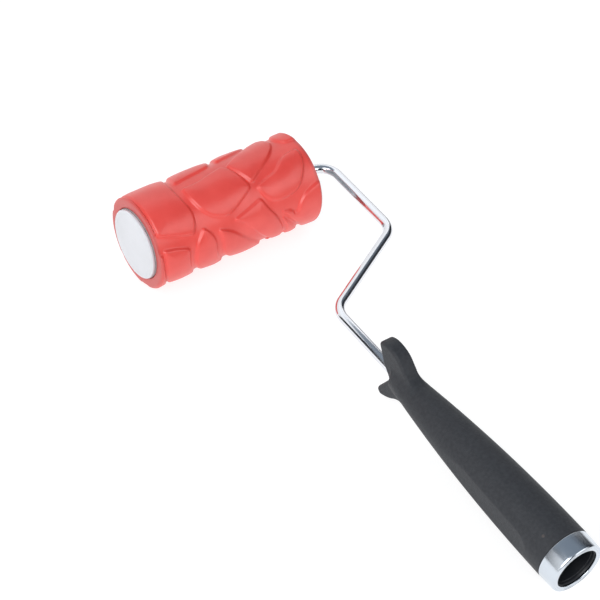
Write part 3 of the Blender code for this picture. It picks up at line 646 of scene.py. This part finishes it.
# ---------------------------------------------------------------- materials
def principled(name, colour=None, roughness=None, metallic=0.0):
    """A plain material. A colour or roughness left out here is given by a texture later."""
    made = bpy.data.materials.new(name)
    made.use_nodes = True
    shader = made.node_tree.nodes["Principled BSDF"]
    if colour:
        shader.inputs["Base Color"].default_value = (*colour, 1)
    if roughness:
        shader.inputs["Roughness"].default_value = roughness
    shader.inputs["Metallic"].default_value = metallic
    return made


def add_node(tree, kind, **settings):
    node = tree.nodes.new(kind)
    for key, value in settings.items():
        if key in node.inputs:
            node.inputs[key].default_value = value
        else:
            setattr(node, key, value)
    return node


def noise_node(tree, scale, detail=4.0, stretch=None):
    coordinates = add_node(tree, "ShaderNodeTexCoord")
    texture = add_node(tree, "ShaderNodeTexNoise", Scale=scale, Detail=detail, Roughness=0.55)
    source = coordinates.outputs["Object"]
    if stretch:
        mapping = add_node(tree, "ShaderNodeMapping")
        mapping.inputs["Scale"].default_value = stretch
        tree.links.new(source, mapping.inputs["Vector"])
        source = mapping.outputs["Vector"]
    tree.links.new(source, texture.inputs["Vector"])
    return texture


def colour_ramp(tree, low, low_colour, high, high_colour):
    ramp = add_node(tree, "ShaderNodeValToRGB")
    for stop, position, colour in zip(ramp.color_ramp.elements, (low, high), (low_colour, high_colour)):
        stop.position = position
        stop.color = (*colour, 1)
    return ramp


def vary_colour(made, texture, dark, light):
    tree = made.node_tree
    ramp = colour_ramp(tree, 0.35, dark, 0.65, light)
    tree.links.new(texture.outputs["Fac"], ramp.inputs["Fac"])
    tree.links.new(ramp.outputs["Color"], tree.nodes["Principled BSDF"].inputs["Base Color"])
    return ramp


def vary_roughness(made, texture, low, high):
    tree = made.node_tree
    span = add_node(tree, "ShaderNodeMapRange")
    span.inputs["To Min"].default_value = low
    span.inputs["To Max"].default_value = high
    tree.links.new(texture.outputs["Fac"], span.inputs["Value"])
    tree.links.new(span.outputs["Result"], tree.nodes["Principled BSDF"].inputs["Roughness"])


def bump(made, texture, strength, distance):
    tree = made.node_tree
    node = add_node(tree, "ShaderNodeBump", Strength=strength, Distance=distance)
    tree.links.new(texture.outputs["Fac"], node.inputs["Height"])
    tree.links.new(node.outputs["Normal"], tree.nodes["Principled BSDF"].inputs["Normal"])


def red_rubber():
    """Moulded rubber, with painted shade that darkens both ends of the sleeve."""
    made = principled("red_rubber_look")
    tree = made.node_tree
    shader = tree.nodes["Principled BSDF"]
    shader.inputs["Specular IOR Level"].default_value = 0.8
    ramp = vary_colour(made, noise_node(tree, 60, 5), (0.78, 0.056, 0.042), (0.84, 0.072, 0.056))
    # Painted shade: towards each end the base colour fades to a darker red (0.56, 0.060, 0.052), standing in
    # for the end faces and rounded rims turning away from the light.
    coordinates = add_node(tree, "ShaderNodeTexCoord")
    axes = add_node(tree, "ShaderNodeSeparateXYZ")
    tree.links.new(coordinates.outputs["Object"], axes.inputs["Vector"])
    from_middle = add_node(tree, "ShaderNodeMath", operation="ABSOLUTE")
    tree.links.new(axes.outputs["X"], from_middle.inputs[0])
    span = add_node(tree, "ShaderNodeMapRange")
    span.inputs["From Min"].default_value = SLEEVE_HALF - SHORT_LEFT
    span.inputs["From Max"].default_value = SLEEVE_HALF - SHORT_LEFT - 0.7 * SLEEVE_EDGE
    tree.links.new(from_middle.outputs[0], span.inputs["Value"])
    painted_end_shade = add_node(tree, "ShaderNodeMix", data_type="RGBA")
    painted_end_shade.inputs[MIX_A].default_value = (0.56, 0.060, 0.052, 1)
    tree.links.new(span.outputs["Result"], painted_end_shade.inputs["Factor"])
    tree.links.new(ramp.outputs["Color"], painted_end_shade.inputs[MIX_B])
    tree.links.new(painted_end_shade.outputs[MIX_OUT], shader.inputs["Base Color"])
    vary_roughness(made, noise_node(tree, 90, 4), 0.31, 0.42)
    bump(made, noise_node(tree, 1400, 3), 0.10, 0.0004)
    return made


def white_plastic():
    made = principled("white_plastic_look", roughness=0.36)
    tree = made.node_tree
    vary_colour(made, noise_node(tree, 40), (0.645, 0.655, 0.685), (0.69, 0.70, 0.735))
    bump(made, noise_node(tree, 900, 2), 0.05, 0.0003)
    return made


def chrome():
    made = principled("chrome_look", (0.80, 0.81, 0.84), metallic=1.0)
    tree = made.node_tree
    vary_roughness(made, noise_node(tree, 260, 5), 0.10, 0.19)
    bump(made, noise_node(tree, 700, 3), 0.03, 0.0002)
    return made


def ferrule_steel():
    made = principled("ferrule_look", (0.66, 0.71, 0.77), metallic=1.0)
    tree = made.node_tree
    vary_roughness(made, noise_node(tree, 300, 4, stretch=(0.2, 6.0, 0.2)), 0.16, 0.26)
    bump(made, noise_node(tree, 500, 3, stretch=(0.15, 8.0, 0.15)), 0.05, 0.0002)
    return made


def black_grip():
    made = principled("black_grip_look", roughness=0.60)
    tree = made.node_tree
    vary_colour(made, noise_node(tree, 500, 4), (0.017, 0.019, 0.024), (0.026, 0.029, 0.035))
    bump(made, noise_node(tree, 1800, 3), 0.45, 0.0004)
    return made


def plain_look(name, colour, roughness, metallic=0.0):
    made = principled(name, roughness=roughness, metallic=metallic)
    tree = made.node_tree
    shade = tuple(0.9 * c for c in colour)
    vary_colour(made, noise_node(tree, 150), shade, colour)
    bump(made, noise_node(tree, 600, 3), 0.08, 0.0003)
    return made


def dress(piece, made, body, node):
    """Puts a finished piece in place on its body, instead of the CAD's node."""
    piece.location = SPIN
    piece.data.materials.append(made)
    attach(piece, body)
    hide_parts(node)


def repaint(node, made):
    """Keeps the CAD's shape and gives it a new material."""
    mesh = frame["nodes"][node].data
    mesh.materials.clear()
    mesh.materials.append(made)


# ---------------------------------------------------------------- the object
RUBBER = red_rubber()
WHITE = white_plastic()
CHROME = chrome()
STEEL = ferrule_steel()
GRIP = black_grip()
CORE = plain_look("black_core_look", (0.009, 0.011, 0.015), 0.45)
GREY = plain_look("grey_plastic_look", (0.36, 0.37, 0.39), 0.5)
PALE = plain_look("core_tube_look", (0.52, 0.49, 0.50), 0.5)
ACETAL = plain_look("acetal_look", (0.82, 0.81, 0.76), 0.35)
ZINC = plain_look("zinc_look", (0.62, 0.64, 0.66), 0.28, 1.0)
PIN = plain_look("pin_look", (0.08, 0.07, 0.07), 0.5, 0.4)

dress(rubber_sleeve(), RUBBER, "roller", "rubber_sleeve")
dress(white_cover(), WHITE, "roller", "outer_cover")
dress(frame_wire(), CHROME, "frame", "frame_wire")
dress(handle_grip(), GRIP, "frame", "grip_skin")
dress(ferrule_ring(), STEEL, "frame", "ferrule")
dress(socket_cup(), CORE, "frame", "pole_socket")
dress(pin_head(), PIN, "frame", "core_pin")
repaint("core_tube", PALE)
for node in ("outer_hub", "spacer_tube"):
    repaint(node, GREY)
repaint("inner_hub", WHITE)
for node in ("outer_bush", "inner_bush"):
    repaint(node, ACETAL)
for node in ("outer_washer", "inner_washer", "stop_collar", "axle_push_nut"):
    repaint(node, ZINC)
repaint("handle_core", CORE)


# ---------------------------------------------------------------- studio
def floor():
    """A pale glowing table that the roller and the handle's end both rest on."""
    lean = math.atan2(PAD_R - GRIP_R, -END_Y)
    half = 6.0
    corners = [(-half, -half, 0), (half, -half, 0), (half, half, 0), (-half, half, 0)]
    mesh = bpy.data.meshes.new("floor")
    mesh.from_pydata(corners, [], [(0, 1, 2, 3)])
    made = linked("floor", mesh)
    made.rotation_euler = (-lean, 0, 0)
    made.location = SPIN - Vector((0, math.sin(lean), math.cos(lean))) * (PAD_R + FLOOR_GAP)
    look = principled("floor_look", (0.30, 0.30, 0.30), 0.8)
    shader = look.node_tree.nodes["Principled BSDF"]
    shader.inputs["Emission Color"].default_value = (1, 1, 1, 1)
    shader.inputs["Emission Strength"].default_value = 0.80
    mesh.materials.append(look)


def panel(name, corner, along, up, radiance):
    """A rectangular soft box from one corner and its two sides, measured from the middle of the sleeve.

    It shines towards the side that up cross along points to.
    """
    along, up = Vector(along), Vector(up)
    width, height = along.length, up.length
    light = bpy.data.lights.new(name, "AREA")
    light.shape = "RECTANGLE"
    light.size = width
    light.size_y = height
    light.energy = radiance * math.pi * width * height
    made = linked(name, light)
    made.location = SPIN + Vector(corner) + along / 2 + up / 2
    across = along.normalized()
    upright = (up - across * up.dot(across)).normalized()
    made.rotation_euler = Matrix((across, upright, across.cross(upright))).transposed().to_euler()
    made.visible_camera = False


def soft_box(name, centre, facing, width, height, radiance):
    """A soft box given by its middle and the point it faces."""
    away = (Vector(centre) - Vector(facing)).normalized()
    across = Vector((0, 0, 1)).cross(away).normalized()
    upright = away.cross(across)
    corner = Vector(centre) - across * width / 2 - upright * height / 2
    panel(name, corner, across * width, upright * height, radiance)


def surroundings():
    """A dim studio, dark at the horizon and cool overhead. The camera sees plain white past the floor."""
    world = bpy.data.worlds.new("studio")
    bpy.context.scene.world = world
    world.use_nodes = True
    tree = world.node_tree
    background = tree.nodes["Background"]
    coordinates = add_node(tree, "ShaderNodeTexCoord")
    split = add_node(tree, "ShaderNodeSeparateXYZ")
    tree.links.new(coordinates.outputs["Generated"], split.inputs["Vector"])
    ramp = colour_ramp(tree, 0.50, (0.024, 0.027, 0.034), 0.85, (0.22, 0.26, 0.31))
    tree.links.new(split.outputs["Z"], ramp.inputs["Fac"])
    path = add_node(tree, "ShaderNodeLightPath")
    choose = add_node(tree, "ShaderNodeMix", data_type="RGBA")
    tree.links.new(path.outputs["Is Camera Ray"], choose.inputs["Factor"])
    tree.links.new(ramp.outputs["Color"], choose.inputs[MIX_A])
    choose.inputs[MIX_B].default_value = (1, 1, 1, 1)
    tree.links.new(choose.outputs[MIX_OUT], background.inputs["Color"])
    background.inputs["Strength"].default_value = 1.0


def studio():
    surroundings()
    soft_box("key", (-1.25, -0.75, 1.30), (0, -0.10, 0), 1.4, 1.4, 3.7)
    soft_box("front", (0.80, -1.30, 1.05), (0, -0.05, 0), 1.6, 1.1, 1.9)
    soft_box("left", (-1.05, -0.35, 0.45), (0, -0.2, 0), 1.1, 0.9, 0.8)
    panel("back", (1.4, 1.0, -0.05), (-2.45, 0, 0), (0, -0.46, 1.2), 0.95)
    panel("far", (2.7, 0.9, -0.05), (-1.25, 0.1, 0), (0, -0.2, 0.98), 0.30)
    panel("strip", (2.3, 0.80, 0.97), (-0.9, 0.08, 0), (0, -0.05, 0.22), 0.85)
    view = bpy.context.scene.view_settings
    view.view_transform = "Standard"
    view.look = "None"
    view.exposure = 0.0


def camera():
    """Long lens from behind the handle, high on the left, rolled slightly."""
    azimuth, elevation, roll = math.radians(-38.62), math.radians(45.95), math.radians(5.505)
    level = math.cos(elevation)
    back = Vector((math.sin(azimuth) * level, -math.cos(azimuth) * level, math.sin(elevation)))
    turn = back.to_track_quat("Z", "Y").to_matrix() @ Matrix.Rotation(roll, 3, "Z")
    data = bpy.data.cameras.new("camera")
    data.sensor_width = 36
    data.lens = 113.9
    made = linked("camera", data)
    at = SPIN + Vector((-0.53285, -0.76481, 0.88175))
    made.matrix_world = Matrix.Translation(at) @ turn.to_4x4()
    bpy.context.scene.camera = made


floor()
studio()
camera()
